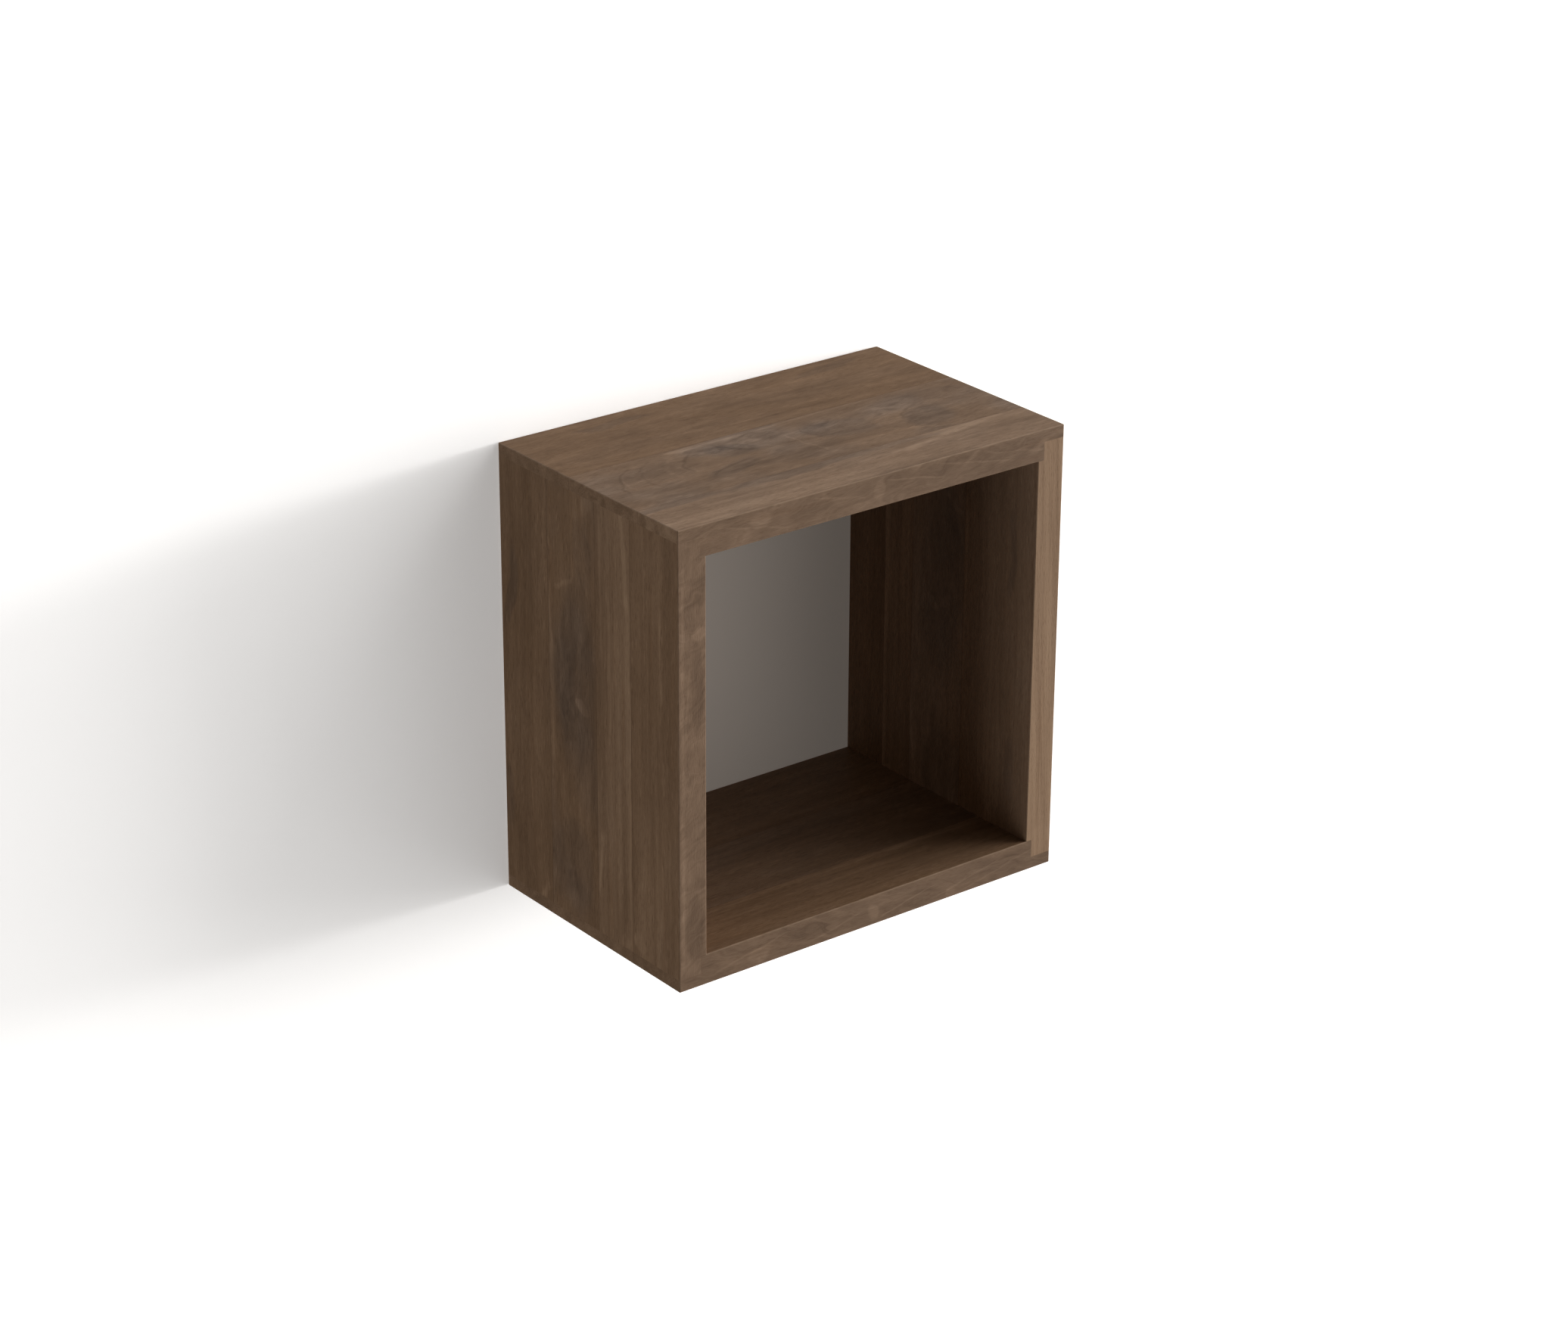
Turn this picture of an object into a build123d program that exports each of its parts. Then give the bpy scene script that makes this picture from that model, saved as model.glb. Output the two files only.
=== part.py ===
from build123d import *
import os

# Wall-hung open cube shelf in solid walnut: four boards, each glued up from staves, meeting in stepped
# rebates that are pinned with dowels, and hung on two keyhole plates let into the rear edges.
#
# Millimetres. +X to the right, +Y to the wall, +Z up. The origin is the middle of the underside.

# --- Driving dimensions -------------------------------------------------------------------------------
WIDTH = 364.0  # outside, along X
HEIGHT = 369.0  # outside, along Z
DEPTH = 225.0  # front edge to wall, along Y
BOARD = 25.0  # thickness of all four boards
ARRIS = 0.8  # radius left by sanding on every outside edge

# Stepped rebate: the top and bottom boards keep a thin lip over the end of each side board, and the side
# boards keep a tongue that reaches up to that lip.
LIP = 10.0
TONGUE = 19.5

# Stave widths of each board from the front edge back. The rear stave takes up the rest of the depth.
STAVES = {
    "top_board": {"front": 48.0, "middle": 86.0},
    "bottom_board": {"front": 58.5, "middle": 82.5},
    "left_side": {"front": 58.5, "front_middle": 44.0, "rear_middle": 60.5},
    "right_side": {"front": 83.0, "front_middle": 62.5, "rear_middle": 34.5},
}

# Fluted dowels, lying along X across each rebate's shoulder
DOWEL_DIAMETER = 6.0
DOWEL_LENGTH = 30.0
DOWEL_CHAMFER = 0.8
DOWELS_PER_CORNER = 3
DOWEL_PITCH = 88.0
DOWEL_INTO_TONGUE = 10.5
DOWEL_GLUE_GAP = 0.05  # all round, and ten times that at each end
FLUTES = 12
FLUTE_RADIUS = 0.3

# Keyhole plates. Heights along the plate are measured from the centre of the round entry hole.
ENTRY_BELOW_TOP = 70.0
ENTRY_RADIUS = 4.5
SLOT_WIDTH = 5.0
SLOT_TRAVEL = 13.0  # from the entry's centre up to where the wall screw's shank rests
PLATE_WIDTH = 16.0
PLATE_HEIGHT = 54.0
PLATE_THICKNESS = 2.0
PLATE_CENTRE = 5.0
PLATE_FIT = 0.1  # gap between the plate's edge and its recess
POCKET_WIDTH = 11.0  # room behind the plate for the wall screw's head
POCKET_DEPTH = 10.0  # from the wall face
SCREW_SPACING = 40.0  # between the two wood screws of one plate

# Countersunk wood screws, 3.5 x 16
SCREW_LENGTH = 16.0
SCREW_RADIUS = 1.75
SCREW_CORE_RADIUS = 1.2
SCREW_HEAD_RADIUS = 3.5
SCREW_HEAD_RIM = 0.2
THREAD_PITCH = 1.6
THREAD_TURNS = 6
CROSS_SPAN = 3.8
CROSS_WIDTH = 0.9
CROSS_DEPTH = 1.5
CROSS_TAPER = 12.0  # degrees

# --- Worked out from the above ------------------------------------------------------------------------
FRONT = -DEPTH / 2
WALL = DEPTH / 2
CAVITY_WIDTH = WIDTH - 2 * BOARD
CAVITY_HEIGHT = HEIGHT - 2 * BOARD
SHOULDER_X = WIDTH / 2 - TONGUE  # where the tongue meets the end of the full-thickness board
DOWEL_LEVEL = (LIP + BOARD) / 2  # from the outer face to the middle of the shoulder
SIDE_MIDDLE_X = (WIDTH - BOARD) / 2
HEAD_HEIGHT = SCREW_HEAD_RIM + SCREW_HEAD_RADIUS - SCREW_RADIUS  # a 90 degree countersink
SPARE = 5.0  # how far a cutting block runs past the face that it cuts

SIDES = {"left": -1, "right": 1}
LEVELS = {"bottom": -1, "top": 1}


def block(x_range, y_range, z_range):
    """A box between two values on each axis."""
    spans = [x_range, y_range, z_range]
    sizes = [high - low for low, high in spans]
    centre = [(high + low) / 2 for low, high in spans]
    return Pos(*centre) * Box(*sizes)


def full_depth(x_range, z_range):
    """A box that runs right through the unit from front to wall."""
    return block(x_range, (FRONT - SPARE, WALL + SPARE), z_range)


# --- The boards ---------------------------------------------------------------------------------------
def eased_tube():
    """The four boards as one square tube, with its outside and mouth edges rounded."""
    middle = Pos(0, 0, HEIGHT / 2)
    outside = middle * Box(WIDTH, DEPTH, HEIGHT)
    outside = fillet(outside.edges(), ARRIS)
    tube = outside - middle * Box(CAVITY_WIDTH, DEPTH + SPARE, CAVITY_HEIGHT)
    mouth_edges = [
        edge
        for edge in tube.edges()
        if abs(abs(edge.center().Y) - WALL) < 1e-6
        and abs(edge.center().X) <= CAVITY_WIDTH / 2 + 1e-6
        and abs(edge.center().Z - HEIGHT / 2) <= CAVITY_HEIGHT / 2 + 1e-6
    ]
    return fillet(mouth_edges, ARRIS)


def lying_board_zone(level):
    """The space of the top (+1) or bottom (-1) board: full thickness, then a lip at each end."""
    outer, inner, lip = (HEIGHT, HEIGHT - BOARD, HEIGHT - LIP)
    if level < 0:
        outer, inner, lip = (0.0, BOARD, LIP)
    beyond = outer + level * SPARE
    thick = full_depth((-SHOULDER_X, SHOULDER_X), sorted((inner, beyond)))
    thin = full_depth((-WIDTH / 2 - SPARE, WIDTH / 2 + SPARE), sorted((lip, beyond)))
    return thick + thin


def side_board_zone(side):
    """The space of a side board: the full thickness inside, and a longer tongue outside."""
    outer = side * (WIDTH / 2 + SPARE)
    inner = side * (WIDTH / 2 - BOARD)
    shoulder = side * SHOULDER_X
    body = full_depth(sorted((inner, outer)), (BOARD, HEIGHT - BOARD))
    tongue = full_depth(sorted((shoulder, outer)), (LIP, HEIGHT - LIP))
    return body + tongue


def stave_edges(widths):
    """The name of each stave with the Y of its front and rear edges."""
    named = dict(widths)
    named["rear"] = DEPTH - sum(widths.values())
    y = FRONT
    for name, width in named.items():
        yield name, y, y + width
        y += width


def cut_into_staves(board, board_name):
    """A board cut along Y at its glue lines, by node name."""
    staves = {}
    for name, front, rear in stave_edges(STAVES[board_name]):
        beyond_x = (-WIDTH / 2 - SPARE, WIDTH / 2 + SPARE)
        slice_zone = block(beyond_x, (front, rear), (-SPARE, HEIGHT + SPARE))
        staves[f"{board_name}_{name}_stave"] = board & slice_zone
    return staves


# --- The dowels ---------------------------------------------------------------------------------------
def dowel():
    """One fluted dowel along X, with its middle at the origin."""
    radius = DOWEL_DIAMETER / 2
    peg = Rot(0, 90, 0) * Cylinder(radius, DOWEL_LENGTH)
    peg = chamfer(peg.edges(), DOWEL_CHAMFER)
    for turn in range(FLUTES):
        groove = Rot(0, 90, 0) * Cylinder(FLUTE_RADIUS, DOWEL_LENGTH + SPARE)
        peg -= Rot(360 * turn / FLUTES, 0, 0) * Pos(0, 0, radius) * groove
    return peg


def dowel_hole():
    """The bore round one dowel: a glue gap all round, and a deeper one at each end."""
    end_gap = 10 * DOWEL_GLUE_GAP
    return Rot(0, 90, 0) * Cylinder(DOWEL_DIAMETER / 2 + DOWEL_GLUE_GAP, DOWEL_LENGTH + 2 * end_gap)


def dowel_places(side, level):
    """Where the dowels of one corner lie, spread evenly about the middle of the depth."""
    x = side * (SHOULDER_X + DOWEL_INTO_TONGUE - DOWEL_LENGTH / 2)
    z = HEIGHT - DOWEL_LEVEL if level > 0 else DOWEL_LEVEL
    middle = (DOWELS_PER_CORNER - 1) / 2
    return [Pos(x, (n - middle) * DOWEL_PITCH, z) for n in range(DOWELS_PER_CORNER)]


# --- The keyhole hangers ------------------------------------------------------------------------------
def hanger_frame(side):
    """Local frame of a hanger: X across, Y up, Z out to the wall, at the entry hole on the wall face."""
    at_entry = (side * SIDE_MIDDLE_X, WALL, HEIGHT - ENTRY_BELOW_TOP)
    return Plane(origin=at_entry, x_dir=(-1, 0, 0), z_dir=(0, 1, 0)).location


def upright_slot(low, high, width):
    """A round-ended slot, standing along local Y between the centres of its two ends."""
    return Pos(0, (low + high) / 2) * SlotCenterToCenter(high - low, width, rotation=90)


def plate_outline(gap=0.0):
    """The outline of the plate, or of its recess where there is a gap."""
    reach = (PLATE_HEIGHT - PLATE_WIDTH) / 2
    return upright_slot(PLATE_CENTRE - reach, PLATE_CENTRE + reach, PLATE_WIDTH + 2 * gap)


def screw_heights():
    """The local Y of a plate's two wood screws."""
    return [PLATE_CENTRE - SCREW_SPACING / 2, PLATE_CENTRE + SCREW_SPACING / 2]


def screw_profile():
    """Half of the screw's lengthwise section, head at the top: countersunk head, thread and point."""
    points = [(0, 0), (SCREW_HEAD_RADIUS, 0), (SCREW_HEAD_RADIUS, -SCREW_HEAD_RIM)]
    points.append((SCREW_RADIUS, -HEAD_HEIGHT))
    thread_top = -PLATE_THICKNESS - THREAD_PITCH
    points.append((SCREW_RADIUS, thread_top))
    for turn in range(THREAD_TURNS):
        root = thread_top - THREAD_PITCH * (turn + 0.5)
        points.append((SCREW_CORE_RADIUS, root))
        points.append((SCREW_RADIUS, root - THREAD_PITCH / 2))
    points.append((0, -SCREW_LENGTH))
    return make_face(Polyline(*points, close=True))


def screw_blank():
    """A wood screw before its recess is pressed: head flush with local Z = 0, point into the wood. The
    plate and the wood are cut with it too, so the screw fills its hole."""
    return revolve(Rot(90, 0, 0) * screw_profile(), Axis.Z)


def screw():
    """One wood screw with a cross recess in its head."""
    cross = Rectangle(CROSS_SPAN, CROSS_WIDTH) + Rectangle(CROSS_WIDTH, CROSS_SPAN)
    return screw_blank() - extrude(cross, -CROSS_DEPTH, taper=CROSS_TAPER)


def keyhole_plate():
    """The steel plate: round ends, a round entry with a slot above it, and two countersunk holes."""
    plate = extrude(plate_outline(), -PLATE_THICKNESS)
    keyhole = Circle(ENTRY_RADIUS) + upright_slot(0, SLOT_TRAVEL, SLOT_WIDTH)
    plate -= extrude(keyhole, -PLATE_THICKNESS)
    for y in screw_heights():
        plate -= Pos(0, y, 0) * screw_blank()
    return plate


def hanger_recess():
    """What is cut from the rear edge of a side board for one hanger and its two screws."""
    recess = extrude(plate_outline(PLATE_FIT), -PLATE_THICKNESS)
    recess += extrude(upright_slot(0, SLOT_TRAVEL, POCKET_WIDTH), -POCKET_DEPTH)
    for y in screw_heights():
        recess += Pos(0, y, 0) * screw_blank()
    return recess


# --- Putting it together ------------------------------------------------------------------------------
def build_nodes():
    """Every node of the unit, by name."""
    tube = eased_tube()
    boards = {
        "top_board": tube & lying_board_zone(1),
        "bottom_board": tube & lying_board_zone(-1),
        "left_side": tube & side_board_zone(-1),
        "right_side": tube & side_board_zone(1),
    }
    nodes = {}
    peg, bore = dowel(), dowel_hole()
    for level_name, level in LEVELS.items():
        for side_name, side in SIDES.items():
            places = dowel_places(side, level)
            nodes[f"{level_name}_{side_name}_dowels"] = Compound([place * peg for place in places])
            for place in places:
                boards[f"{level_name}_board"] -= place * bore
                boards[f"{side_name}_side"] -= place * bore

    plate, wood_screw, recess = keyhole_plate(), screw(), hanger_recess()
    for side_name, side in SIDES.items():
        frame = hanger_frame(side)
        nodes[f"{side_name}_keyhole_plate"] = frame * plate
        screws = [frame * (Pos(0, y, 0) * wood_screw) for y in screw_heights()]
        nodes[f"{side_name}_hanger_screws"] = Compound(screws)
        boards[f"{side_name}_side"] -= frame * recess

    for board_name, board in boards.items():
        nodes.update(cut_into_staves(board, board_name))
    return nodes


os.makedirs("parts", exist_ok=True)
for node_name, shape in build_nodes().items():
    export_step(shape, f"parts/{node_name}.step")
    print(node_name, len(shape.solids()), round(shape.volume, 1))
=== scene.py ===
import functools
import math

import bpy
from mathutils import Matrix, Vector


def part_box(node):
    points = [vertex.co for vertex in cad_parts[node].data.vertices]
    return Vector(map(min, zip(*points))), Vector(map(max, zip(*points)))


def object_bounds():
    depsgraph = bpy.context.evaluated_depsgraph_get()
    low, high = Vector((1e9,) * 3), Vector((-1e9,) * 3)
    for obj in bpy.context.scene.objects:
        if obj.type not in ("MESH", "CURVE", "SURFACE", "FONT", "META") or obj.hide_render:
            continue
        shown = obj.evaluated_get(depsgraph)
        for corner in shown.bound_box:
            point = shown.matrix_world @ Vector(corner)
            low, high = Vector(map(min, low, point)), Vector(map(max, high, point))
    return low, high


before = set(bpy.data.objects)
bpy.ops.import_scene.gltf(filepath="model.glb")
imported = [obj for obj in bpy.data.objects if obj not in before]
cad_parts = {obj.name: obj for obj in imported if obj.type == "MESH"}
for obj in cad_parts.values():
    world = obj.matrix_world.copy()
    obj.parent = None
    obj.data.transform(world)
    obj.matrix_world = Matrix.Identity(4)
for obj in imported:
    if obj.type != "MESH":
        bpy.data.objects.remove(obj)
cad_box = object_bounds()


def span(box):
    """How wide, deep and high a box is, in millimetres."""
    low, high = box
    return [(b - a) * 1000.0 for a, b in zip(low, high)]


# The shelf's own sizes. Materials work in millimetres, and objects are placed in metres
WIDTH, DEPTH, HEIGHT = span(cad_box)
BOARD = span(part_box("left_side_front_middle_stave"))[0]
WALL_Y = DEPTH / 2

# How far in from a corner the rubbed tone reaches, and how far it has its full strength
RUB_REACH, RUB_CORE = 1.3, 0.2


# ---------------------------------------------------------------------------------------------
# A small language for material nodes
# ---------------------------------------------------------------------------------------------

# Raw noise lies between 0 and 1, mostly near the middle: this spreads it to about -1 to 1
NOISE_SPREAD = 3.2
# How many cells each axis of a texture moves for one step of the seed
SEED_STEPS = (1.0, 1.37, 1.71)
# A speck has its full strength within this part of its size
SPECK_CORE = 0.35
# A mix node has sockets of every kind. These are the places of the colour ones
MIX_UNDER, MIX_OVER, MIX_RESULT = 6, 7, 2


class Field:
    """A number that varies over a surface. Arithmetic on it adds the nodes that work it out."""

    def __init__(self, tree, socket):
        self.tree, self.socket = tree, socket

    def math(self, operation, *others):
        node = self.tree.nodes.new("ShaderNodeMath")
        node.operation = operation
        for slot, value in zip(node.inputs, (self, *others)):
            plug(self.tree, slot, value)
        return Field(self.tree, node.outputs[0])

    def __add__(self, other):
        return self.math("ADD", other)

    def __radd__(self, other):
        return self + other

    def __sub__(self, other):
        return self.math("SUBTRACT", other)

    def __rsub__(self, other):
        return self * -1.0 + other

    def __mul__(self, other):
        return self.math("MULTIPLY", other)

    def __truediv__(self, other):
        return self.math("DIVIDE", other)

    def __abs__(self):
        return self.math("ABSOLUTE")

    def least(self, other):
        return self.math("MINIMUM", other)

    def most(self, other):
        return self.math("MAXIMUM", other)

    def fade(self, start, end, low=0.0, high=1.0):
        """Goes smoothly from low where the field is start to high where it is end."""
        node = self.tree.nodes.new("ShaderNodeMapRange")
        node.interpolation_type = "SMOOTHSTEP"
        if start > end:
            start, end, low, high = end, start, high, low
        for slot, value in zip(node.inputs, (self, start, end, low, high)):
            plug(self.tree, slot, value)
        return Field(self.tree, node.outputs[0])


def plug(tree, slot, value):
    """Feeds a socket from a field or from another socket, or sets it to a plain value."""
    if isinstance(value, Field):
        tree.links.new(value.socket, slot)
    elif isinstance(value, bpy.types.NodeSocket):
        tree.links.new(value, slot)
    else:
        slot.default_value = value


class Material:
    """A material with its shader, and the fields and textures that feed it."""

    def __init__(self, name, **shader):
        self.material = bpy.data.materials.new(name)
        self.material.use_nodes = True
        self.tree = self.material.node_tree
        self.shader = self.tree.nodes["Principled BSDF"]
        for socket, value in shader.items():
            self.shader.inputs[socket.replace("_", " ")].default_value = value
        places = self.tree.nodes.new("ShaderNodeTexCoord")
        self.x, self.y, self.z = (f * 1000.0 for f in self.split(places.outputs["Object"]))
        self.facing = self.split(places.outputs["Normal"])

    def split(self, socket):
        """The three numbers in a vector or a colour."""
        node = self.tree.nodes.new("ShaderNodeSeparateXYZ")
        self.tree.links.new(socket, node.inputs[0])
        return [Field(self.tree, out) for out in node.outputs]

    def texture(self, kind, place, cell, seed):
        """A texture node with cells of that size, moved on by the seed."""
        joined = self.tree.nodes.new("ShaderNodeCombineXYZ")
        for slot, p, c, step in zip(joined.inputs, place, cell, SEED_STEPS):
            plug(self.tree, slot, p / c + seed * step)
        node = self.tree.nodes.new(kind)
        node.inputs["Scale"].default_value = 1.0
        self.tree.links.new(joined.outputs[0], node.inputs["Vector"])
        return node

    def noise(self, place, cell, seed, detail=2.0, amount=1.0):
        """Soft noise about zero, mostly within plus or minus amount."""
        node = self.texture("ShaderNodeTexNoise", place, cell, seed)
        node.inputs["Detail"].default_value = detail
        return (Field(self.tree, node.outputs["Fac"]) - 0.5) * (NOISE_SPREAD * amount)

    def drift(self, place, cell, seed, detail=1.0):
        """Three soft noises about zero at once, to push a place about with."""
        node = self.texture("ShaderNodeTexNoise", place, cell, seed)
        node.inputs["Detail"].default_value = detail
        return [(f - 0.5) * NOISE_SPREAD for f in self.split(node.outputs["Color"])]

    def specks(self, place, cell, seed, size):
        """1 in the middle of scattered specks, 0 between them. Size is a part of a cell."""
        node = self.texture("ShaderNodeTexVoronoi", place, cell, seed)
        return Field(self.tree, node.outputs["Distance"]).fade(size, size * SPECK_CORE)

    def ramp(self, field, stops):
        """The colours at stops, blended by where the field lies between 0 and 1."""
        node = self.tree.nodes.new("ShaderNodeValToRGB")
        node.color_ramp.interpolation = "B_SPLINE"
        marks = node.color_ramp.elements
        while len(marks) < len(stops):
            marks.new(0.5)
        for mark, (place, colour) in zip(marks, stops):
            mark.position, mark.color = place, (*colour, 1.0)
        plug(self.tree, node.inputs["Fac"], field)
        return node.outputs["Color"]

    def blend(self, amount, under, over, kind="MIX"):
        """Over on top of under, as far as amount says."""
        node = self.tree.nodes.new("ShaderNodeMix")
        node.data_type, node.blend_type = "RGBA", kind
        plug(self.tree, node.inputs["Factor"], amount)
        plug(self.tree, node.inputs[MIX_UNDER], under)
        node.inputs[MIX_OVER].default_value = (*over, 1.0)
        return node.outputs[MIX_RESULT]

    def muted(self, colour, saturation):
        """The colour with its saturation multiplied."""
        node = self.tree.nodes.new("ShaderNodeHueSaturation")
        plug(self.tree, node.inputs["Saturation"], saturation)
        plug(self.tree, node.inputs["Color"], colour)
        return node.outputs["Color"]

    def finish(self, colour, roughness, height, depth, strength=1.0):
        """Feeds the shader. Height runs from 0 to about 1, and depth is its size in millimetres."""
        bump = self.tree.nodes.new("ShaderNodeBump")
        bump.inputs["Distance"].default_value = depth / 1000.0
        bump.inputs["Strength"].default_value = strength
        plug(self.tree, bump.inputs["Height"], height)
        plug(self.tree, self.shader.inputs["Base Color"], colour)
        plug(self.tree, self.shader.inputs["Roughness"], roughness)
        plug(self.tree, self.shader.inputs["Normal"], bump.outputs[0])
        return self.material


def paint(node, material):
    """Gives a CAD node that material."""
    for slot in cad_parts[node].material_slots:
        slot.material = material


# ---------------------------------------------------------------------------------------------
# Walnut
# ---------------------------------------------------------------------------------------------

WALNUT = [
    (0.00, (0.062, 0.032, 0.015)),
    (0.28, (0.120, 0.067, 0.034)),
    (0.50, (0.180, 0.106, 0.058)),
    (0.72, (0.250, 0.154, 0.090)),
    (1.00, (0.360, 0.236, 0.145)),
]

# Tints that multiply the wood's colour, and the paler wood that shows where corners are rubbed
RED_TINT, PORE_TINT, GLUE_TINT = (1.10, 0.97, 0.82), (0.62, 0.55, 0.50), (0.42, 0.36, 0.32)
RUBBED_WALNUT = (0.30, 0.20, 0.13)

# A patch fades out between these, which are distances from its middle in half sizes, squared
PATCH_RIM, PATCH_CORE = 1.35, 0.45
# A streak has its full tone within this part of its half width
STREAK_CORE = 0.15
# Its ends fade over this part of its half length, and at most over this many millimetres
STREAK_END_PART, STREAK_END_MOST = 0.7, 12.0
# What a mark's tone is multiplied by, before the faces' own figure breaks it up
MARK_STRENGTH = 1.4
# How much curl a dark patch adds to the wood for its tone
PATCH_CURL = 5.5
# How far rings are pushed about where the wood is curly, in millimetres
CURL_PUSH = 15.0


def turned(along, across, lean):
    """Two distances measured again along axes that lean by that angle."""
    cos, sin = math.cos(lean), math.sin(lean)
    return along * cos + across * sin, across * cos - along * sin


def pushed(place, drift, amounts):
    """A place moved about by a drift, by so much each way."""
    return [p + push * amount for p, push, amount in zip(place, drift, amounts)]


def patch(along, across, row):
    """A soft oval: its middle, half length, half width, lean in degrees and tone."""
    middle_along, middle_across, half_length, half_width, lean, tone = row
    u, v = turned(along - middle_along, across - middle_across, math.radians(lean))
    u, v = u / half_length, v / half_width
    return (u * u + v * v).fade(PATCH_RIM, PATCH_CORE) * tone


def streak(along, across, row):
    """A soft line: its two ends, half width and tone, and how far it bows where it isn't straight."""
    along_0, across_0, along_1, across_1, half_width, tone = row[:6]
    bow = row[6] if len(row) > 6 else 0.0
    half_length = math.hypot(along_1 - along_0, across_1 - across_0) / 2
    lean = math.atan2(across_1 - across_0, along_1 - along_0)
    u, v = turned(along - (along_0 + along_1) / 2, across - (across_0 + across_1) / 2, lean)
    if bow:
        v = v + u * u * (bow / half_length ** 2) - bow
    end = min(half_length * STREAK_END_PART, STREAK_END_MOST)
    body = abs(v).fade(half_width, half_width * STREAK_CORE)
    return body * abs(u).fade(half_length + end / 2, half_length - end / 2) * tone


def figure(wood, u, v, cell, seed, swirl, amount):
    """Curly figure on one face: fine lines drawn out along u, pushed about until they swirl."""
    length, width = cell
    push = wood.drift((u, v, 0.0), (length * 1.3, width * 3.0, 1.0), seed + 3.1, detail=2.0)
    place = (u + push[0] * swirl, v + push[1] * swirl, 0.0)
    broad = wood.noise(place, (length, width, 1.0), seed + 8.3, detail=2.5, amount=amount)
    fine = wood.noise(
        place, (length * 0.8, width * 0.24, 1.0), seed + 9.3, detail=3.0, amount=amount * 0.5)
    return broad + fine


def worn_corners(wood):
    """1 along the box's outer arrises and round its mouth, front and back, and 0 elsewhere."""
    side = WIDTH / 2 - abs(wood.x)
    face = DEPTH / 2 - abs(wood.y)
    end = HEIGHT / 2 - abs(wood.z - HEIGHT / 2)
    # An outer arris is where two of these distances are small, so the middle one of the three is
    middle = side.least(face).most(side.most(face).least(end))
    outer = middle.fade(RUB_REACH, RUB_CORE)
    across_mouth = abs(wood.x) - (WIDTH / 2 - BOARD)
    up_mouth = abs(wood.z - HEIGHT / 2) - (HEIGHT / 2 - BOARD)
    inner = abs(across_mouth.most(up_mouth)).most(face).fade(RUB_REACH, RUB_CORE)
    return outer.most(inner)


def front_figure(wood, along, through, ripple, fibres, seed, edge):
    """The figure on a board's front edge, which is its own and not the faces' carried round."""
    inward = (through - edge["outer"]) * edge["inward"]
    u, v = turned(along, inward, math.radians(edge["lean"]))
    own = figure(wood, u, v, edge["cell"], seed + 11.0, edge["swirl"], edge["amount"])
    place = (along + ripple[0] * 2.0, inward + ripple[2] * 1.6)
    marks = [patch(*place, row) for row in edge["patches"]]
    marks += [streak(*place, row) for row in edge["streaks"]]
    return own + edge["tone"] + fibres * 0.04 + sum(marks) * MARK_STRENGTH


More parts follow.
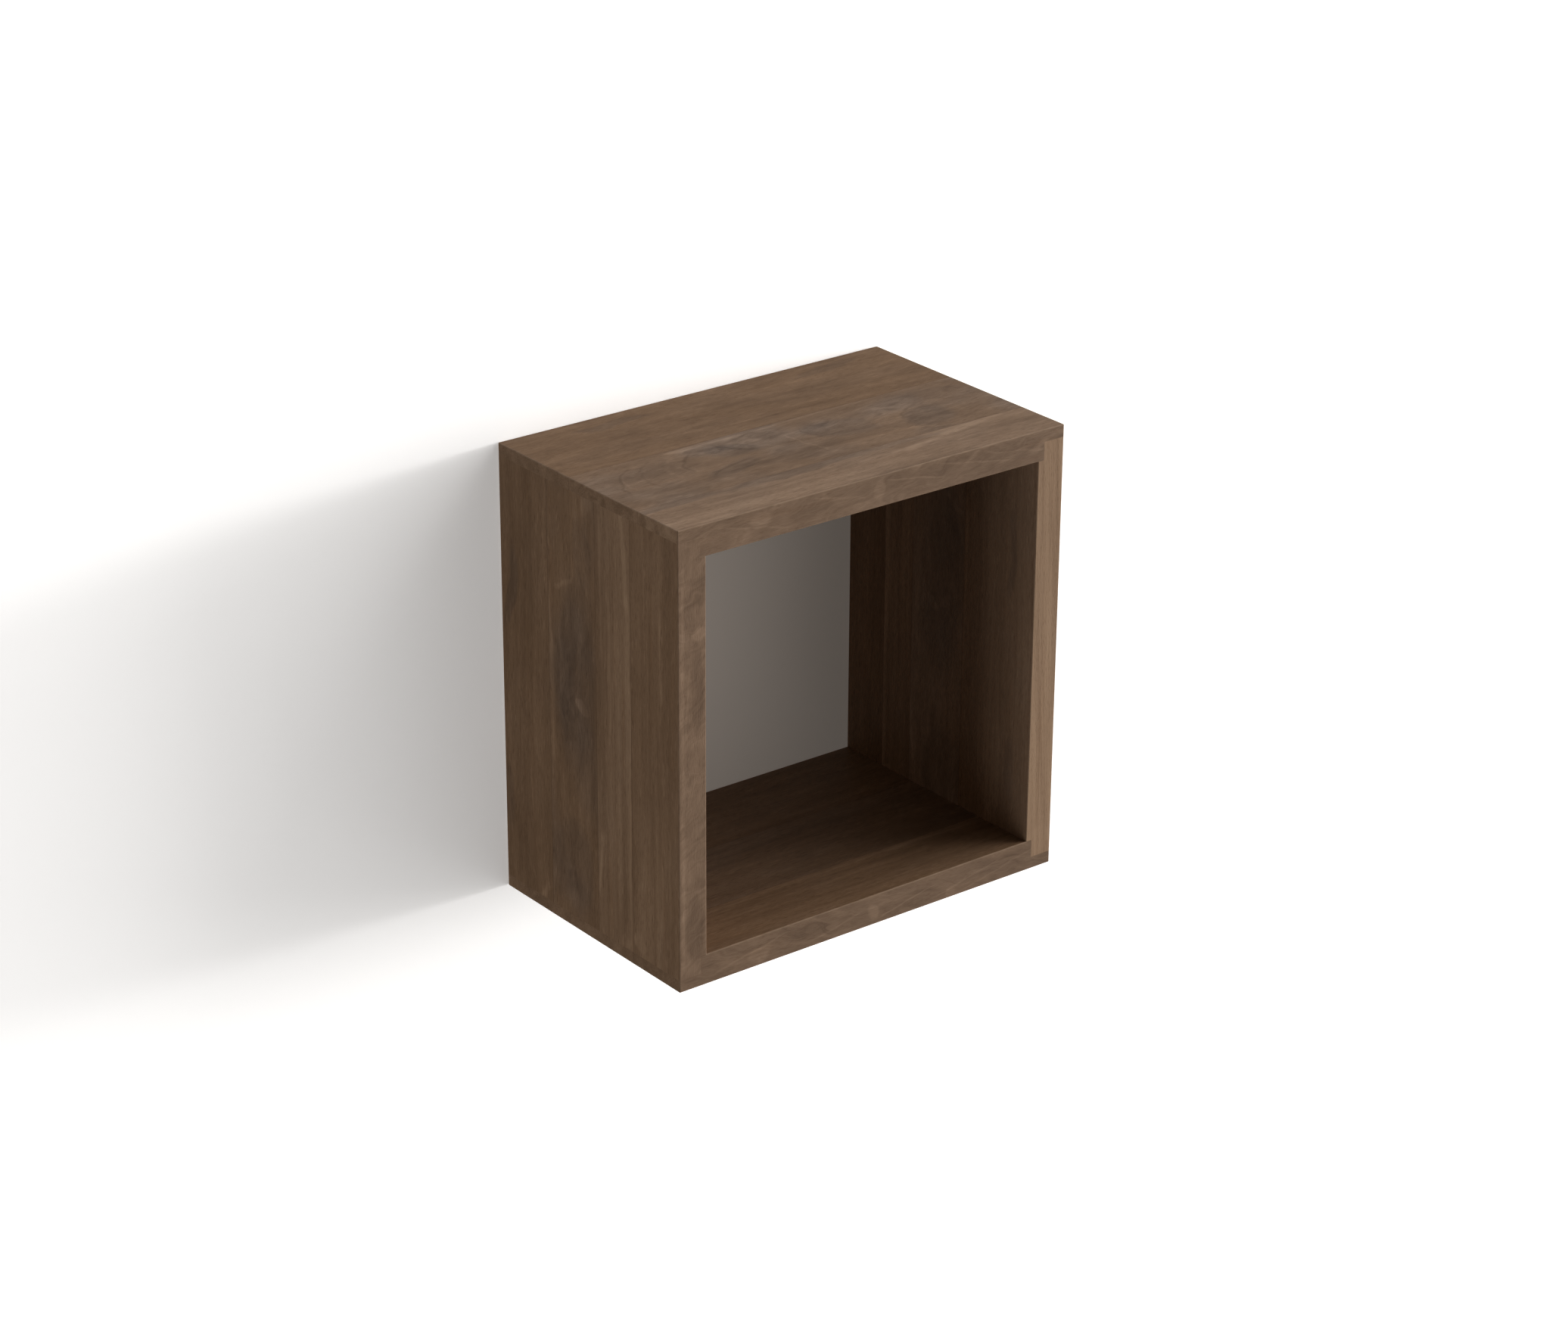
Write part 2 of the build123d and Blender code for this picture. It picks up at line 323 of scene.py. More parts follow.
def walnut(name, board, patches, streaks, glue_lines, seed, tone, bands, curl, grey=0.0, mottle=0.0,
           end_tone=-0.03, edge=None):
    """One stave's walnut.

    Tone lightens it, bands is how strong its rings are, curl is how much curly figure it has, grey
    is how dull its colour is, mottle is how cloudy it is, and end_tone lightens its end grain.
    """
    wood = Material(name, Specular_IOR_Level=0.12, Sheen_Weight=0.01, Sheen_Roughness=0.6)
    lying = board in ("top", "bottom")
    along, through = (wood.x, wood.z) if lying else (wood.z, wood.x)
    wall = WALL_Y - wood.y
    grain = (along, wall, through)
    end_grain = abs(wood.facing[0] if lying else wood.facing[2]).fade(0.6, 0.95)

    # The whole tree leans and wanders a little
    wander = wood.drift(grain, (210.0, 48.0, 48.0), seed)
    ripple = wood.drift(grain, (40.0, 11.0, 11.0), seed + 5.0, detail=2.0)
    swirl = wood.drift(grain, (62.0, 30.0, 30.0), seed + 5.5, detail=2.0)
    wavy = pushed(pushed(grain, wander, (14.0, 5.0, 5.0)), ripple, (4.0, 0.9, 0.9))

    # Curly figure lies in drifts and in the dark patches. Its rings swirl about, and it is greyer
    curls = wood.noise(grain, (80.0, 42.0, 42.0), seed + 4.0, detail=1.0).fade(-0.25, 0.55) * curl
    streak_place = pushed(pushed(grain[:2], wander, (3.0, 1.4)), ripple, (3.6, 1.9))
    patch_place = pushed(streak_place, swirl, (9.0, 6.5))
    marks = [streak(*streak_place, row) for row in streaks]
    for row in patches:
        oval = patch(*patch_place, row)
        marks.append(oval)
        if row[-1] < 0.0:
            curls = curls - oval * PATCH_CURL
    curled = [p + push * curls * CURL_PUSH for p, push in zip(wavy[1:], swirl[1:])]

    rings = wood.noise((wavy[0], *curled), (420.0, 15.0, 20.0), seed, detail=2.5, amount=0.19 * bands)
    lines = wood.noise(
        (wavy[0], *curled), (230.0, 3.4, 4.0), seed + 1.0, detail=3.0, amount=0.075 * bands)
    fibres = wood.noise(wavy, (48.0, 0.75, 0.75), seed + 2.0, detail=1.5)
    zones = wood.noise(wavy, (120.0, 34.0, 40.0), seed + 3.0, detail=3.0)
    cloud = wood.noise((along, *curled), (34.0, 8.0, 8.0), seed + 8.3, detail=4.0, amount=0.16)
    field = rings + lines + fibres * 0.042 + zones * 0.09 + cloud * (curls + mottle)
    if marks:
        broken_up = (cloud * 3.0 + fibres * 0.35 + lines * 3.0 + MARK_STRENGTH).most(0.2)
        field = field + sum(marks) * broken_up

    # Short flecks, light and dark, where fibres lift or lie over
    fleck_place = (along, wavy[1] + ripple[1] * 0.6, wavy[2])
    field = field + wood.specks(fleck_place, (19.0, 2.2, 2.2), seed + 0.3, 0.34) * 0.11
    field = field - wood.specks(fleck_place, (15.0, 2.0, 2.0), seed + 0.7, 0.34) * 0.12

    greyness = (curls * 0.38 + grey) * (1.0 - end_grain)
    if edge:
        front = (wood.facing[1] * -1.0).fade(0.55, 0.85)
        own = front_figure(wood, along, through, ripple, fibres, seed, edge)
        field = field * (1.0 - front * 0.8) + own * front
        greyness = greyness * (1.0 - front) + front * edge["grey"]

    colour = wood.ramp(field + (0.5 + tone) + end_grain * end_tone, WALNUT)
    red = wood.noise(wavy, (150.0, 7.0, 9.0), seed + 6.0, detail=1.5, amount=0.55).fade(0.1, 0.8)
    colour = wood.blend(red * 0.35, colour, RED_TINT, "MULTIPLY")
    colour = wood.muted(colour, (1.0 - greyness * 0.40).most(0.58))

    # Open pores: short dashes on the faces and dots on the ends
    pore_place = pushed(grain, ripple, (0.0, 0.8, 0.8))
    pores = wood.specks(pore_place, (6.5, 0.62, 0.62), seed, 0.44) * zones.fade(-0.9, 0.9, 0.35, 1.0)
    colour = wood.blend(pores * (0.60 - end_grain * 0.3), colour, PORE_TINT, "MULTIPLY")

    glue = functools.reduce(Field.most, [abs(wall - place).fade(0.60, 0.12) for place in glue_lines])
    colour = wood.blend(glue * 0.40, colour, GLUE_TINT, "MULTIPLY")

    # Handled corners are rubbed lighter and smoother, unevenly
    uneven = wood.noise(grain, (13.0, 13.0, 13.0), seed + 9.0).fade(-0.9, 0.5, 0.3, 1.0)
    rubbed = worn_corners(wood) * uneven
    colour = wood.blend(rubbed * 0.50, colour, RUBBED_WALNUT)

    satin = wood.noise(grain, (60.0, 22.0, 22.0), seed + 7.0, amount=0.045)
    roughness = satin + fibres * 0.02 + pores * 0.16 - rubbed * 0.08 + end_grain * 0.08 + 0.54
    height = fibres * 0.16 - pores * 0.8 + field * 0.5 + 0.6
    return wood.finish(colour, roughness, height, depth=0.09, strength=0.7)


# Marks on the boards' faces, in millimetres: along the grain, then out from the wall.
# On the sides, along is the height, and on the lying boards it is how far right of the middle.
# A patch is its middle, half length, half width, lean and tone. A streak is its two ends, half width
# and tone, and how far it bows where it isn't straight.
SIDE_PATCHES = [
    (212.0, 95.0, 84.0, 30.0, 2.0, -0.095),
    (182.0, 92.0, 36.0, 20.0, 0.0, -0.035),
    (250.0, 88.0, 26.0, 15.0, 12.0, -0.03),
    (190.0, 104.0, 5.0, 8.0, 20.0, 0.10),
    (196.0, 90.0, 9.0, 4.0, 30.0, 0.06),
    (315.0, 106.0, 28.0, 12.0, 0.0, -0.045),
    (50.0, 88.0, 35.0, 29.0, 0.0, -0.075),
    (352.0, 114.0, 10.0, 7.0, 0.0, 0.10),
    (264.0, 12.0, 38.0, 5.5, 3.0, -0.085),
    (76.0, 7.0, 28.0, 7.0, 0.0, -0.06),
    (17.0, 160.0, 8.0, 6.0, 0.0, 0.08),
    (17.0, 177.0, 8.0, 7.0, 0.0, 0.09),
    (50.0, 196.0, 95.0, 34.0, 0.0, 0.04),
]
SIDE_STREAKS = [
    (135.0, 66.0, 281.0, 65.0, 3.6, 0.10),
    (276.0, 70.0, 290.0, 92.0, 3.2, 0.08),
    (360.0, 156.5, 290.0, 162.0, 4.2, 0.12, -1.0),
    (300.0, 161.5, 10.0, 163.5, 5.0, 0.12),
    (300.0, 165.0, 60.0, 165.5, 2.2, 0.05),
    (358.0, 138.0, 180.0, 140.0, 3.0, 0.055),
    (210.0, 150.0, 40.0, 152.0, 3.4, 0.055),
    (350.0, 128.0, 240.0, 130.0, 2.4, 0.05),
    (270.0, 133.5, 100.0, 135.0, 1.8, 0.05),
    (96.0, 129.5, 42.0, 124.5, 2.8, 0.13),
    (340.0, 145.0, 120.0, 146.0, 1.8, -0.05),
    (0.0, 42.0, 27.0, 60.0, 4.0, 0.10),
    (300.0, 203.5, 225.0, 204.5, 1.4, 0.07),
    (180.0, 206.0, 60.0, 205.0, 1.8, 0.05),
    (330.0, 183.0, 250.0, 184.0, 1.4, 0.045),
    (120.0, 214.0, 20.0, 213.0, 2.0, 0.05),
    (300.0, 49.0, 180.0, 47.0, 2.2, -0.04),
    (340.0, 37.0, 265.0, 36.0, 1.5, 0.05),
    (120.0, 36.0, 70.0, 38.0, 1.4, 0.05),
    (170.0, 22.0, 110.0, 21.0, 1.6, -0.06),
]
TOP_PATCHES = [
    (-90.0, 18.0, 34.0, 6.0, 3.0, -0.085),
    (117.0, 17.0, 32.0, 7.0, -8.0, -0.06),
    (-60.0, 98.0, 42.0, 6.5, 0.0, 0.1),
    (-100.0, 122.0, 5.0, 16.0, 14.0, 0.061),
    (-52.0, 117.0, 22.0, 13.0, 20.0, -0.088),
    (-72.0, 145.0, 30.0, 9.0, -12.0, -0.077),
    (-125.0, 126.0, 34.0, 22.0, -20.0, -0.03),
    (40.0, 127.0, 30.0, 19.0, 14.0, -0.097),
    (112.0, 150.0, 24.0, 20.0, -30.0, -0.108),
    (152.0, 112.0, 32.0, 14.0, 10.0, -0.052),
    (88.0, 118.0, 18.0, 14.0, 30.0, 0.036),
    (-12.0, 150.0, 40.0, 13.0, 0.0, -0.036),
    (-150.0, 181.0, 44.0, 6.5, 0.0, -0.117),
    (-40.0, 183.0, 70.0, 7.0, -1.0, -0.103),
    (60.0, 180.5, 40.0, 4.5, 2.0, -0.069),
    (60.0, 165.0, 40.0, 8.0, 0.0, 0.03),
]
TOP_STREAKS = [
    (52.0, 197.5, 156.0, 179.0, 5.0, 0.13, -2.5),
    (-182.0, 221.5, -128.0, 220.5, 2.8, 0.081),
    (-140.0, 196.0, 40.0, 200.0, 3.4, 0.05),
    (-100.0, 210.0, 120.0, 207.0, 3.0, 0.032),
    (-170.0, 60.0, -20.0, 66.0, 3.0, -0.035),
    (20.0, 46.0, 170.0, 40.0, 3.0, -0.035),
    (-30.0, 76.0, 120.0, 80.0, 3.0, -0.04),
    (-95.0, 97.0, 52.0, 91.0, 3.0, 0.075, 1.5),
    (-140.0, 104.0, -166.0, 147.0, 2.1, -0.09, 5.0),
    (-148.0, 112.0, -156.0, 142.0, 1.8, 0.054, 4.0),
    (-122.0, 104.0, -140.0, 150.0, 2.0, -0.054, 6.0),
    (-84.0, 106.0, -100.0, 138.0, 2.2, -0.099, 6.0),
    (-106.0, 110.0, -114.0, 140.0, 3.0, 0.05, 4.0),
    (-47.0, 138.0, -92.0, 153.0, 2.2, -0.09, 3.5),
    (-34.0, 126.0, -58.0, 104.0, 2.5, -0.09, -3.5),
    (-44.0, 106.0, -20.0, 134.0, 1.8, 0.058, -2.0),
    (-3.0, 117.0, 6.0, 161.0, 1.8, 0.076, 2.0),
    (14.0, 112.0, 20.0, 138.0, 1.9, -0.063, 3.0),
    (62.0, 150.0, 106.0, 172.0, 1.9, 0.054, -1.5),
    (92.0, 140.0, 124.0, 120.0, 1.9, -0.072, -3.0),
    (91.0, 168.0, 118.0, 174.0, 1.9, -0.054, 2.0),
    (128.0, 166.0, 156.0, 160.0, 2.8, -0.072, 2.0),
    (124.0, 100.0, 168.0, 96.0, 2.2, 0.036, 2.0),
]
FLOOR_STREAKS = [
    (-180.0, 158.0, 180.0, 157.0, 9.0, -0.05),
    (-150.0, 172.0, 150.0, 171.0, 3.0, 0.075),
    (-120.0, 188.0, 90.0, 186.0, 2.6, 0.06),
    (-60.0, 205.0, 160.0, 202.0, 3.0, 0.05),
    (-160.0, 180.0, 120.0, 179.0, 2.4, -0.05),
    (-90.0, 213.0, 100.0, 212.0, 2.6, -0.05),
]

# The front edges: along the grain, then in from the outer face
RAIL_EDGE = dict(
    lean=-11.0, cell=(28.0, 5.5), swirl=9.0, amount=0.15, grey=0.15,
    patches=[
        (2.0, 11.0, 5.0, 8.0, 20.0, 0.09),
        (-108.0, 9.0, 10.0, 6.0, 0.0, 0.08),
        (-60.0, 14.0, 24.0, 7.0, 0.0, -0.05),
        (55.0, 9.0, 22.0, 6.0, -10.0, -0.05),
        (130.0, 14.0, 26.0, 7.0, -10.0, -0.04),
    ],
    streaks=[
        (10.0, 5.0, 62.0, 15.0, 1.0, 0.11),
        (60.0, 4.0, 130.0, 18.0, 1.1, 0.09),
        (-60.0, 4.0, -10.0, 14.0, 1.2, 0.07),
        (-150.0, 6.0, -80.0, 20.0, 1.3, 0.07),
        (95.0, 3.0, 165.0, 17.0, 1.2, 0.07),
    ],
)
LEFT_STILE_EDGE = dict(
    lean=58.0, cell=(22.0, 7.5), swirl=14.0, amount=0.15, tone=-0.075, grey=0.15,
    patches=[
        (243.0, 17.0, 38.0, 6.0, 0.0, -0.085),
        (48.0, 15.0, 27.0, 9.0, 0.0, -0.10),
        (318.0, 17.0, 16.0, 7.0, 30.0, -0.05),
        (285.0, 19.0, 5.0, 7.0, -25.0, 0.10),
        (160.0, 14.0, 26.0, 8.0, 0.0, 0.03),
    ],
    streaks=[
        (340.0, 3.4, 20.0, 3.8, 2.8, 0.085),
        (205.0, 6.0, 250.0, 9.0, 1.2, 0.06),
    ],
)
RIGHT_STILE_EDGE = dict(
    lean=2.5, cell=(170.0, 3.6), swirl=2.5, amount=0.17, tone=0.195, grey=-0.05,
    patches=[(24.0, 12.0, 12.0, 11.0, 0.0, 0.03)],
    streaks=[
        (330.0, 8.0, 120.0, 10.0, 1.3, 0.05),
        (250.0, 16.0, 40.0, 14.0, 1.2, -0.06),
        (340.0, 19.0, 170.0, 20.0, 1.4, -0.045),
    ],
)

# Which numbers of a row are distances out from the wall
PATCH_ACROSS, STREAK_ACROSS = (1,), (1, 3)
# The right side's marks are the left's turned round, and lie this much nearer to the wall
RIGHT_SIDE_SHIFT = 15.6


def turned_round(rows, across):
    """The same marks with their distances from the wall turned round, as on a board that is flipped."""
    turn = DEPTH - RIGHT_SIDE_SHIFT
    return [tuple(turn - v if k in across else v for k, v in enumerate(row)) for row in rows]


MARKS = {
    "top": (TOP_PATCHES, TOP_STREAKS),
    "bottom": ([], FLOOR_STREAKS),
    "left": (SIDE_PATCHES, SIDE_STREAKS),
    "right": (turned_round(SIDE_PATCHES, PATCH_ACROSS), turned_round(SIDE_STREAKS, STREAK_ACROSS)),
}

STAVES = {
    "top_board_front_stave": dict(
        seed=3.2, tone=0.105, bands=1.0, curl=0.15, grey=0.16, mottle=0.6, end_tone=0.05,
        edge=dict(RAIL_EDGE, tone=-0.11, outer=HEIGHT, inward=-1.0)),
    "top_board_middle_stave": dict(
        seed=7.7, tone=0.015, bands=0.52, curl=0.9, grey=0.12, mottle=0.8, end_tone=0.065),
    "top_board_rear_stave": dict(
        seed=12.1, tone=-0.025, bands=0.45, curl=0.15, grey=-0.08, mottle=0.7, end_tone=0.085),
    "bottom_board_front_stave": dict(
        seed=21.4, tone=-0.03, bands=0.75, curl=0.15, grey=-0.05, mottle=0.35, end_tone=0.075,
        edge=dict(RAIL_EDGE, tone=-0.035, outer=0.0, inward=1.0)),
    "bottom_board_middle_stave": dict(
        seed=26.3, tone=-0.075, bands=0.45, curl=0.4, grey=0.1, mottle=0.4, end_tone=0.125),
    "bottom_board_rear_stave": dict(
        seed=29.9, tone=-0.04, bands=0.5, curl=0.2, mottle=0.4, end_tone=0.095),
    "left_side_front_stave": dict(
        seed=41.5, tone=0.06, bands=0.6, curl=0.1, grey=-0.08, mottle=0.3,
        edge=dict(LEFT_STILE_EDGE, outer=-WIDTH / 2, inward=1.0)),
    "left_side_front_middle_stave": dict(seed=44.2, tone=0.095, bands=0.8, curl=0.1, grey=-0.05),
    "left_side_rear_middle_stave": dict(
        seed=48.8, tone=0.01, bands=0.6, curl=0.4, grey=-0.1, mottle=0.4),
    "left_side_rear_stave": dict(seed=53.6, tone=-0.03, bands=0.6, curl=0.1, grey=-0.1, mottle=0.45),
    "right_side_front_stave": dict(
        seed=61.7, tone=0.07, bands=0.9, curl=0.15, grey=0.2,
        edge=dict(RIGHT_STILE_EDGE, outer=WIDTH / 2, inward=-1.0)),
    "right_side_front_middle_stave": dict(
        seed=66.1, tone=0.095, bands=0.6, curl=0.4, grey=0.42, mottle=0.3),
    "right_side_rear_middle_stave": dict(seed=68.4, tone=0.04, bands=0.8, curl=0.1, grey=0.25),
    "right_side_rear_stave": dict(seed=72.9, tone=-0.08, bands=0.6, curl=0.15, grey=0.15, mottle=0.3),
}


def near(rows, across, low, high):
    """The marks that have their middle or an end between those distances from the wall."""
    return [row for row in rows if any(low < row[k] < high for k in across)]


def board_materials():
    """Gives every stave walnut of its own, with the marks that lie on it and its glue lines."""
    for node, look in STAVES.items():
        board = node.split("_")[0]
        low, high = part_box(node)
        sides = WALL_Y - high.y * 1000.0, WALL_Y - low.y * 1000.0
        patches, streaks = MARKS[board]
        paint(node, walnut(
            "walnut_" + node, board,
            patches=near(patches, PATCH_ACROSS, *sides),
            streaks=near(streaks, STREAK_ACROSS, *sides),
            glue_lines=[side for side in sides if 1.0 < side < DEPTH - 1.0],   # not the box's own faces
            **look))


# ---------------------------------------------------------------------------------------------
# Dowels and hangers
# ---------------------------------------------------------------------------------------------

def beech(name, seed):
    """Pale, close-grained dowel wood with short dark flecks and darker ends."""
    wood = Material(name, Specular_IOR_Level=0.3, Sheen_Weight=0.03)
    place = (wood.x, wood.y, wood.z)
    bands = wood.noise(place, (60.0, 1.4, 1.4), seed, amount=0.22)
    fibres = wood.noise(place, (14.0, 0.22, 0.22), seed + 1.0, detail=1.5, amount=0.12)
    flecks = wood.specks(place, (2.2, 0.34, 0.34), seed, 0.36)
    colour = wood.ramp(bands + fibres + 0.5, [
        (0.0, (0.36, 0.22, 0.12)), (0.5, (0.52, 0.36, 0.215)), (1.0, (0.64, 0.48, 0.32))])
    colour = wood.blend(flecks * 0.55, colour, (0.62, 0.50, 0.40), "MULTIPLY")
    ends = abs(wood.facing[0]).fade(0.6, 0.95)
    colour = wood.blend(ends * 0.35, colour, (0.70, 0.62, 0.54), "MULTIPLY")
    roughness = fibres * 0.3 + flecks * 0.1 + 0.60
    return wood.finish(colour, roughness, fibres * 0.5 - flecks + 0.8, depth=0.04)


def zinc_plate(name, seed):
    """Pressed steel with a zinc finish: faint spangle, drawn scratches and a rubbed slot."""
    metal = Material(name, Metallic=1.0, Specular_IOR_Level=0.5)
    place = (metal.x, metal.y, metal.z)
    spangle = metal.noise(place, (3.4, 3.4, 3.4), seed, detail=3.0, amount=0.45)
    drawn = metal.noise(place, (0.22, 0.22, 26.0), seed + 1.0, amount=0.5)
    stain = metal.noise(place, (9.0, 9.0, 14.0), seed + 2.0, detail=3.0).fade(0.0, 1.0)
    colour = metal.ramp(spangle * 0.7 + drawn * 0.25 + 0.5, [
        (0.0, (0.36, 0.365, 0.37)), (0.5, (0.52, 0.525, 0.53)), (1.0, (0.68, 0.685, 0.69))])
    colour = metal.blend(stain * 0.3, colour, (0.55, 0.52, 0.46))
    outer_face = (WALL_Y - metal.y).fade(0.35, 0.0)
    off_middle = abs(abs(metal.x) - (WIDTH - BOARD) / 2)
    rubbed = off_middle.fade(3.4, 2.4) * outer_face
    colour = metal.blend(rubbed * 0.25, colour, (0.80, 0.80, 0.80))
    roughness = spangle * 0.08 + drawn * 0.06 + stain * 0.12 + 0.38
    height = spangle * 0.3 + drawn * 0.5 + 0.5
    return metal.finish(colour, roughness, height, depth=0.02, strength=0.8)


def plated_screw(name, seed):
    """Bright plated screw steel with painted shade in its recess, marks of turning and a little grime.
    """
    metal = Material(name, Metallic=1.0, Specular_IOR_Level=0.5)
    place = (metal.x, metal.y, metal.z)
    haze = metal.noise(place, (1.3, 1.3, 1.3), seed, detail=3.0, amount=0.45)
    lathe = metal.noise(place, (2.4, 0.09, 2.4), seed + 1.0, detail=1.0, amount=0.4)
    grime = metal.noise(place, (2.2, 2.2, 2.2), seed + 2.0, detail=3.0).fade(0.1, 0.9)
    # Painted shade: the screw darkens the further it lies in from the shelf's back, over 0.7 to 2.4
    # millimetres, as shade in its recess
    inside = (WALL_Y - metal.y).fade(0.7, 2.4)
    colour = metal.ramp(haze * 0.6 + lathe * 0.4 + 0.5, [
        (0.0, (0.42, 0.40, 0.36)), (0.5, (0.60, 0.58, 0.54)), (1.0, (0.76, 0.75, 0.72))])
    # This dark colour serves both the real grime and the painted shade in the recess
    colour = metal.blend(grime * 0.35 + inside * 0.35, colour, (0.24, 0.22, 0.19))
    roughness = haze * 0.1 + grime * 0.14 + 0.32
    height = lathe * 0.6 + haze * 0.4 + 0.5
    return metal.finish(colour, roughness, height, depth=0.015, strength=0.8)


def hardware_materials():
    for k, corner in enumerate(("bottom_left", "bottom_right", "top_left", "top_right")):
        paint(corner + "_dowels", beech("beech_" + corner, seed=4.0 + k * 6.5))
    for k, side in enumerate(("left", "right")):
        paint(side + "_keyhole_plate", zinc_plate("zinc_" + side, seed=2.0 + k * 9.0))
        paint(side + "_hanger_screws", plated_screw("screw_" + side, seed=5.0 + k * 8.0))


# ---------------------------------------------------------------------------------------------
# Stage, lights and camera. Places are in metres from here on, except the shelf's own sizes
# ---------------------------------------------------------------------------------------------

STAGE_HALF_WIDTH, STAGE_FLOOR, STAGE_TOP = 8.0, -1.2, 6.0
# The wall stands just clear of the shelf's back, and the sheet inside the box just in front of it
WALL_CLEAR, INSIDE_CLEAR = 0.0006, 0.0003
# How far that sheet reaches past the mouth's edges, in millimetres, to cover their rounded corners
INSIDE_OVERLAP = 1.0

# The last colour is the wall inside the box: the wall's own paint darkened, as painted shade
WALL_PAINT, FLOOR_PAINT, PAINTED_SHADE_WALL = (0.86, 0.845, 0.83), (0.85, 0.85, 0.85), (0.49, 0.44, 0.392)


def backdrop(name, corners, colour, glow):
    """A pale sheet seen from its front only, so that it never hides the object from behind."""
    mesh = bpy.data.meshes.new(name)
    mesh.from_pydata(corners, [], [(0, 1, 2, 3)])
    sheet = bpy.data.objects.new(name, mesh)
    bpy.context.scene.collection.objects.link(sheet)
    material = bpy.data.materials.new(name)
    material.use_nodes = True
    tree = material.node_tree
    shader = tree.nodes["Principled BSDF"]
    shader.inputs["Base Color"].default_value = (*colour, 1.0)
    shader.inputs["Roughness"].default_value = 0.9
    shader.inputs["Specular IOR Level"].default_value = 0.0
    shader.inputs["Emission Color"].default_value = (*colour, 1.0)
    shader.inputs["Emission Strength"].default_value = glow
    side = tree.nodes.new("ShaderNodeNewGeometry")
    clear = tree.nodes.new("ShaderNodeBsdfTransparent")
    both = tree.nodes.new("ShaderNodeMixShader")
    tree.links.new(side.outputs["Backfacing"], both.inputs[0])
    tree.links.new(shader.outputs[0], both.inputs[1])
    tree.links.new(clear.outputs[0], both.inputs[2])
    tree.links.new(both.outputs[0], tree.nodes["Material Output"].inputs["Surface"])
    mesh.materials.append(material)
    return sheet


def upright(half_width, y, low, high):
    """The corners of a sheet that faces the front."""
    return [(-half_width, y, low), (half_width, y, low), (half_width, y, high), (-half_width, y, high)]


def stage():
    """The wall and the floor, which take shadows but send no light or shade back to the object.

    The stretch of wall inside the box is a sheet of its own, which does shade the inside. Its colour is
    the wall's darkened as painted shade, and its faint glow is painted light.
    """
    y = WALL_Y / 1000 + WALL_CLEAR
    wide = STAGE_HALF_WIDTH
    wall = backdrop("stage_wall", upright(wide, y, STAGE_FLOOR, STAGE_TOP), WALL_PAINT, glow=0.425)
    ground = [(-wide, -wide), (wide, -wide), (wide, y), (-wide, y)]
    floor = backdrop("stage_floor", [(*c, STAGE_FLOOR) for c in ground], FLOOR_PAINT, glow=0.25)
    for sheet in (wall, floor):
        sheet.visible_diffuse = sheet.visible_glossy = sheet.visible_shadow = False

    inset = BOARD - INSIDE_OVERLAP
    low, high = inset / 1000, (HEIGHT - inset) / 1000
    mouth = upright((WIDTH / 2 - inset) / 1000, y - INSIDE_CLEAR, low, high)
    # The wall inside the box is coloured darker, as painted shade, and its faint glow is painted light
    backdrop("stage_wall_inside", mouth, PAINTED_SHADE_WALL, glow=0.155)
    return [wall, floor]


# Azimuth (degrees to the right of straight in front), elevation, spread (how many degrees across the
# light looks from the shelf) and level
KEY_ON_STAGE = (84.5, 1.0, 13.0, 2.5)
LIGHTS = {
    "key_along_wall": (85.0, 1.0, 15.0, 0.55),
    "right": (62.0, 0.0, 30.0, 0.44),
    "high_right": (90.0, 57.0, 40.0, 0.435),
    "right_front": (66.0, 28.0, 46.0, 0.36),
    "front": (30.0, 3.0, 56.0, 0.24),
    "low_right": (60.0, -20.0, 40.0, 0.12),
    "low_front": (30.0, -40.0, 50.0, 0.10),
    "left_along_wall": (-85.0, -9.0, 20.0, 0.255),
    "behind": (187.0, 12.0, 60.0, 0.30),
}


def soft_light(name, azimuth, elevation, spread, level):
    """A broad, far-off light."""
    lamp = bpy.data.lights.new(name, "SUN")
    lamp.angle, lamp.energy = math.radians(spread), level * math.pi
    light = bpy.data.objects.new(name, lamp)
    bpy.context.scene.collection.objects.link(light)
    a, e = math.radians(azimuth), math.radians(elevation)
    towards = Vector((math.sin(a) * math.cos(e), -math.cos(a) * math.cos(e), math.sin(e)))
    light.rotation_euler = towards.to_track_quat("Z", "Y").to_euler()
    return light


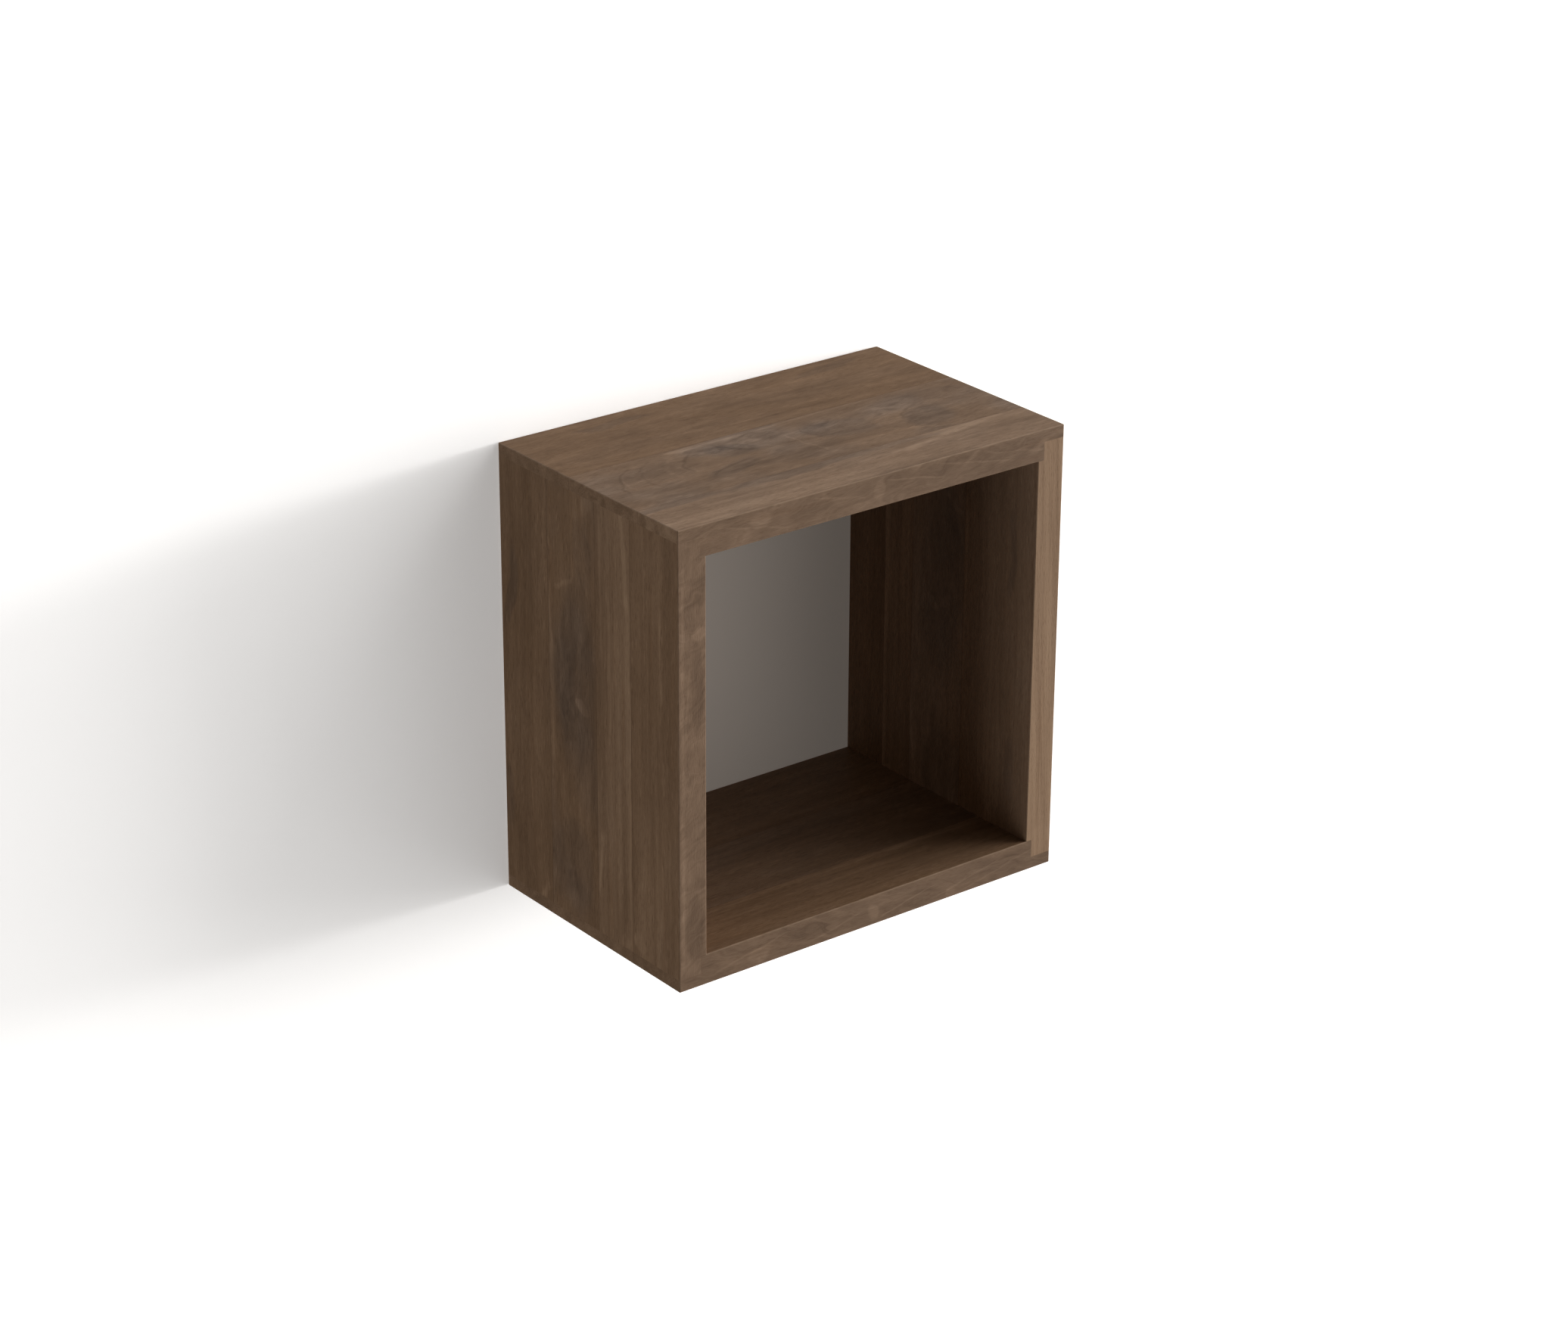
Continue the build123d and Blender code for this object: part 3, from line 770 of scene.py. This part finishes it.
def lights(sheets):
    """The key light is much stronger on the stage, for its shadow, than on the object."""
    key = soft_light("key_on_wall", *KEY_ON_STAGE)
    lit = bpy.data.collections.new("key_on_wall_lights_only")
    for sheet in sheets:
        lit.objects.link(sheet)
    key.light_linking.receiver_collection = lit
    for name, aim in LIGHTS.items():
        soft_light(name, *aim)


def studio_world():
    """Faint light from all round, most from behind and above. The camera itself sees pale grey."""
    world = bpy.data.worlds.new("studio")
    bpy.context.scene.world = world
    world.use_nodes = True
    tree = world.node_tree
    sky = tree.nodes["Background"]
    sky.inputs["Color"].default_value = (1.0, 1.0, 1.0, 1.0)
    places = tree.nodes.new("ShaderNodeTexCoord")
    split = tree.nodes.new("ShaderNodeSeparateXYZ")
    tree.links.new(places.outputs["Generated"], split.inputs[0])
    height = Field(tree, split.outputs["Z"]).fade(-0.30, 0.30, 0.25, 1.0)
    lighting = Field(tree, split.outputs["Y"]).fade(-0.15, 0.15, 0.03, 0.29) * height
    ray = tree.nodes.new("ShaderNodeLightPath")
    seen = Field(tree, ray.outputs["Is Camera Ray"])
    plug(tree, sky.inputs["Strength"], lighting * (1.0 - seen) + seen * 0.86)


# The photo's camera, as recovered from the shelf's outline: where it stands, and its right and up
EYE = Vector((-1.775582, -2.272584, 1.437982))
EYE_RIGHT = Vector((0.789165, -0.614154, 0.005744))
EYE_UP = Vector((0.242267, 0.319872, 0.915963))
LENS, SENSOR = 93.85, 36.0


def camera():
    lens = bpy.data.cameras.new("camera")
    lens.sensor_width, lens.lens = SENSOR, LENS
    lens.clip_start, lens.clip_end = 0.05, 60.0
    eye = bpy.data.objects.new("camera", lens)
    bpy.context.scene.collection.objects.link(eye)
    turn = Matrix((EYE_RIGHT, EYE_UP, EYE_RIGHT.cross(EYE_UP))).transposed()
    eye.matrix_world = Matrix.Translation(EYE) @ turn.to_4x4()
    bpy.context.scene.camera = eye
    bpy.context.scene.view_settings.view_transform = "Standard"


board_materials()
hardware_materials()
lights(stage())
studio_world()
camera()
